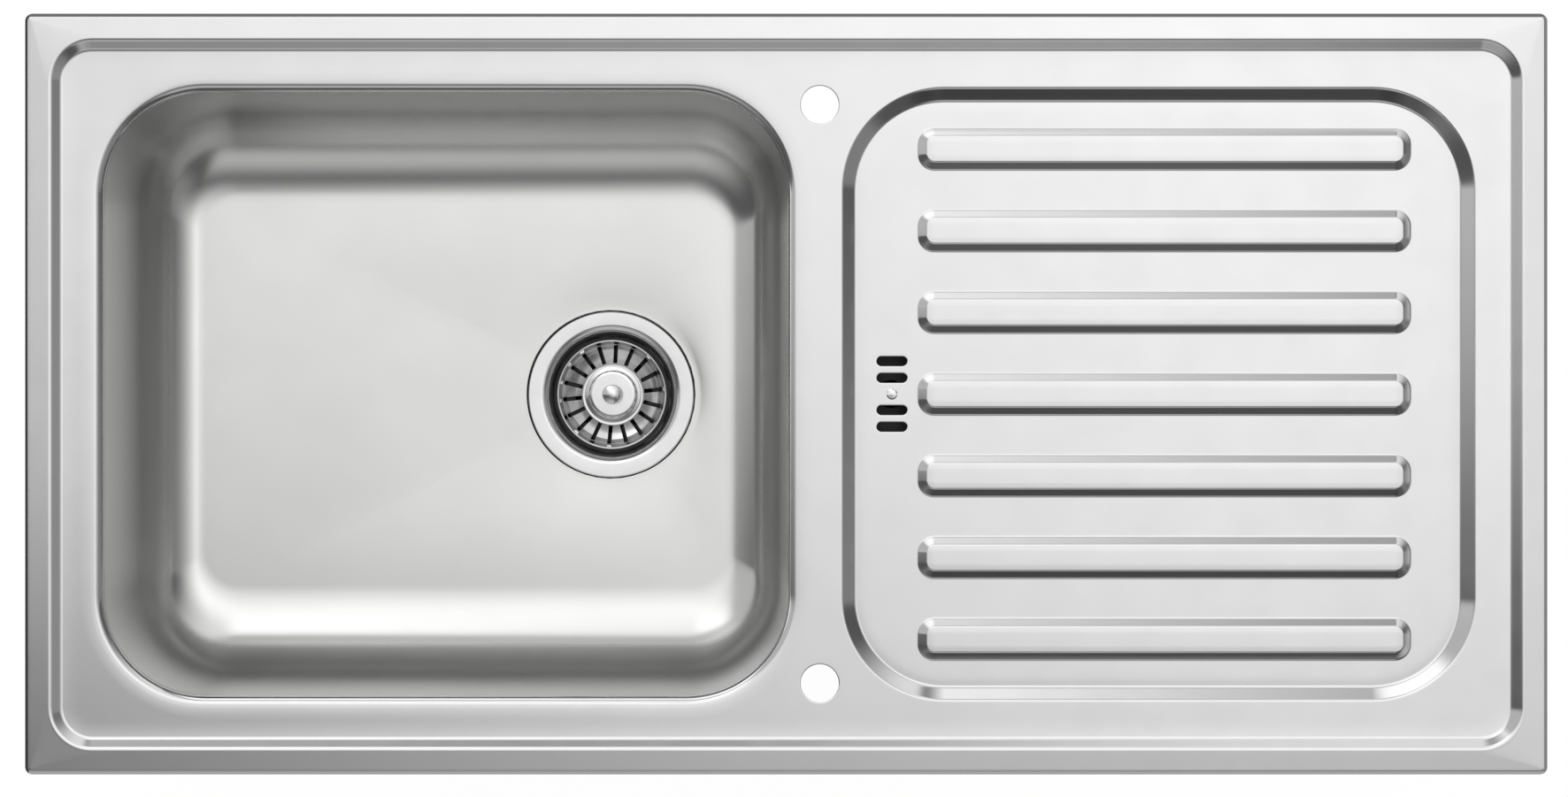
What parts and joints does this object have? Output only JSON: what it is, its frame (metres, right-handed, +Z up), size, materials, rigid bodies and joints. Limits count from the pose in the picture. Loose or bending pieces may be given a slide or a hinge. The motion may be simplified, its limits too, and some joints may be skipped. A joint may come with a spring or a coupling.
{
  "type": "inset kitchen sink",
  "caption": "Stainless steel inset kitchen sink with a bowl, a ribbed drainer tray, a lift-out strainer basket, an overflow and swinging clamp claws under the rim.",
  "frame": {"origin": "middle of the sink on the top face of the worktop that it is set into", "axes": "+X to the drainer, +Y to the rear, +Z up"},
  "size_m": [1, 0.5, 0.277],
  "materials": {
    "satin_stainless": "satin brushed stainless steel",
    "polished_stainless": "polished stainless steel",
    "zinc_steel": "zinc plated steel",
    "foam_strip": "closed cell foam",
    "damping_pad": "bitumen damping pad",
    "black_rubber": "moulded rubber",
    "black_plastic": "moulded polypropylene",
    "grey_plastic": "moulded polypropylene",
    "brass": "turned brass"
  },
  "bodies": {
    "sink": {"sink_deck": "satin_stainless", "bowl": "satin_stainless", "rim_seal": "foam_strip", "bowl_floor_pad": "damping_pad", "bowl_side_pads": "damping_pad", "drainer_pads": "damping_pad", "clip_anchors": "satin_stainless", "clip_screws": "zinc_steel", "waste_flange": "polished_stainless", "flange_seal": "black_rubber", "lower_gasket": "black_rubber", "waste_body": "black_plastic", "body_insert": "brass", "centre_bolt": "polished_stainless", "overflow_head": "black_plastic", "overflow_gasket": "black_rubber", "overflow_screw": "polished_stainless", "overflow_insert": "brass", "overflow_hose": "grey_plastic", "hose_nut_upper": "black_plastic", "hose_nut_lower": "black_plastic", "hose_washers": "black_rubber"},
    "strainer": {"basket": "polished_stainless", "basket_seal": "black_rubber", "basket_cap": "polished_stainless", "basket_knob": "polished_stainless", "basket_nut": "zinc_steel"},
    "claw_1": {"clip_claw_1": "zinc_steel"},
    "claw_2": {"clip_claw_2": "zinc_steel"},
    "claw_3": {"clip_claw_3": "zinc_steel"},
    "claw_4": {"clip_claw_4": "zinc_steel"},
    "claw_5": {"clip_claw_5": "zinc_steel"},
    "claw_6": {"clip_claw_6": "zinc_steel"},
    "claw_7": {"clip_claw_7": "zinc_steel"},
    "claw_8": {"clip_claw_8": "zinc_steel"}
  },
  "joints": [
    {"name": "basket_lift", "type": "slide", "parent": "sink", "child": "strainer", "axis": [0, 0, 1], "range_m": [0, 0.23]},
    {"name": "claw_1_swing", "type": "hinge", "parent": "sink", "child": "claw_1", "pos_m": [-0.3, 0.214, -0.048], "axis": [0, 0, -1], "range_deg": [0, 90]},
    {"name": "claw_2_swing", "type": "hinge", "parent": "sink", "child": "claw_2", "pos_m": [-0.05, 0.214, -0.048], "axis": [0, 0, -1], "range_deg": [0, 90]},
    {"name": "claw_3_swing", "type": "hinge", "parent": "sink", "child": "claw_3", "pos_m": [0.3, 0.214, -0.048], "axis": [0, 0, -1], "range_deg": [0, 90]},
    {"name": "claw_4_swing", "type": "hinge", "parent": "sink", "child": "claw_4", "pos_m": [-0.3, -0.214, -0.048], "axis": [0, 0, -1], "range_deg": [0, 90]},
    {"name": "claw_5_swing", "type": "hinge", "parent": "sink", "child": "claw_5", "pos_m": [-0.05, -0.214, -0.048], "axis": [0, 0, -1], "range_deg": [0, 90]},
    {"name": "claw_6_swing", "type": "hinge", "parent": "sink", "child": "claw_6", "pos_m": [0.3, -0.214, -0.048], "axis": [0, 0, -1], "range_deg": [0, 90]},
    {"name": "claw_7_swing", "type": "hinge", "parent": "sink", "child": "claw_7", "pos_m": [-0.464, 0, -0.048], "axis": [0, 0, -1], "range_deg": [0, 90]},
    {"name": "claw_8_swing", "type": "hinge", "parent": "sink", "child": "claw_8", "pos_m": [0.464, 0, -0.048], "axis": [0, 0, -1], "range_deg": [0, 90]}
  ]
}
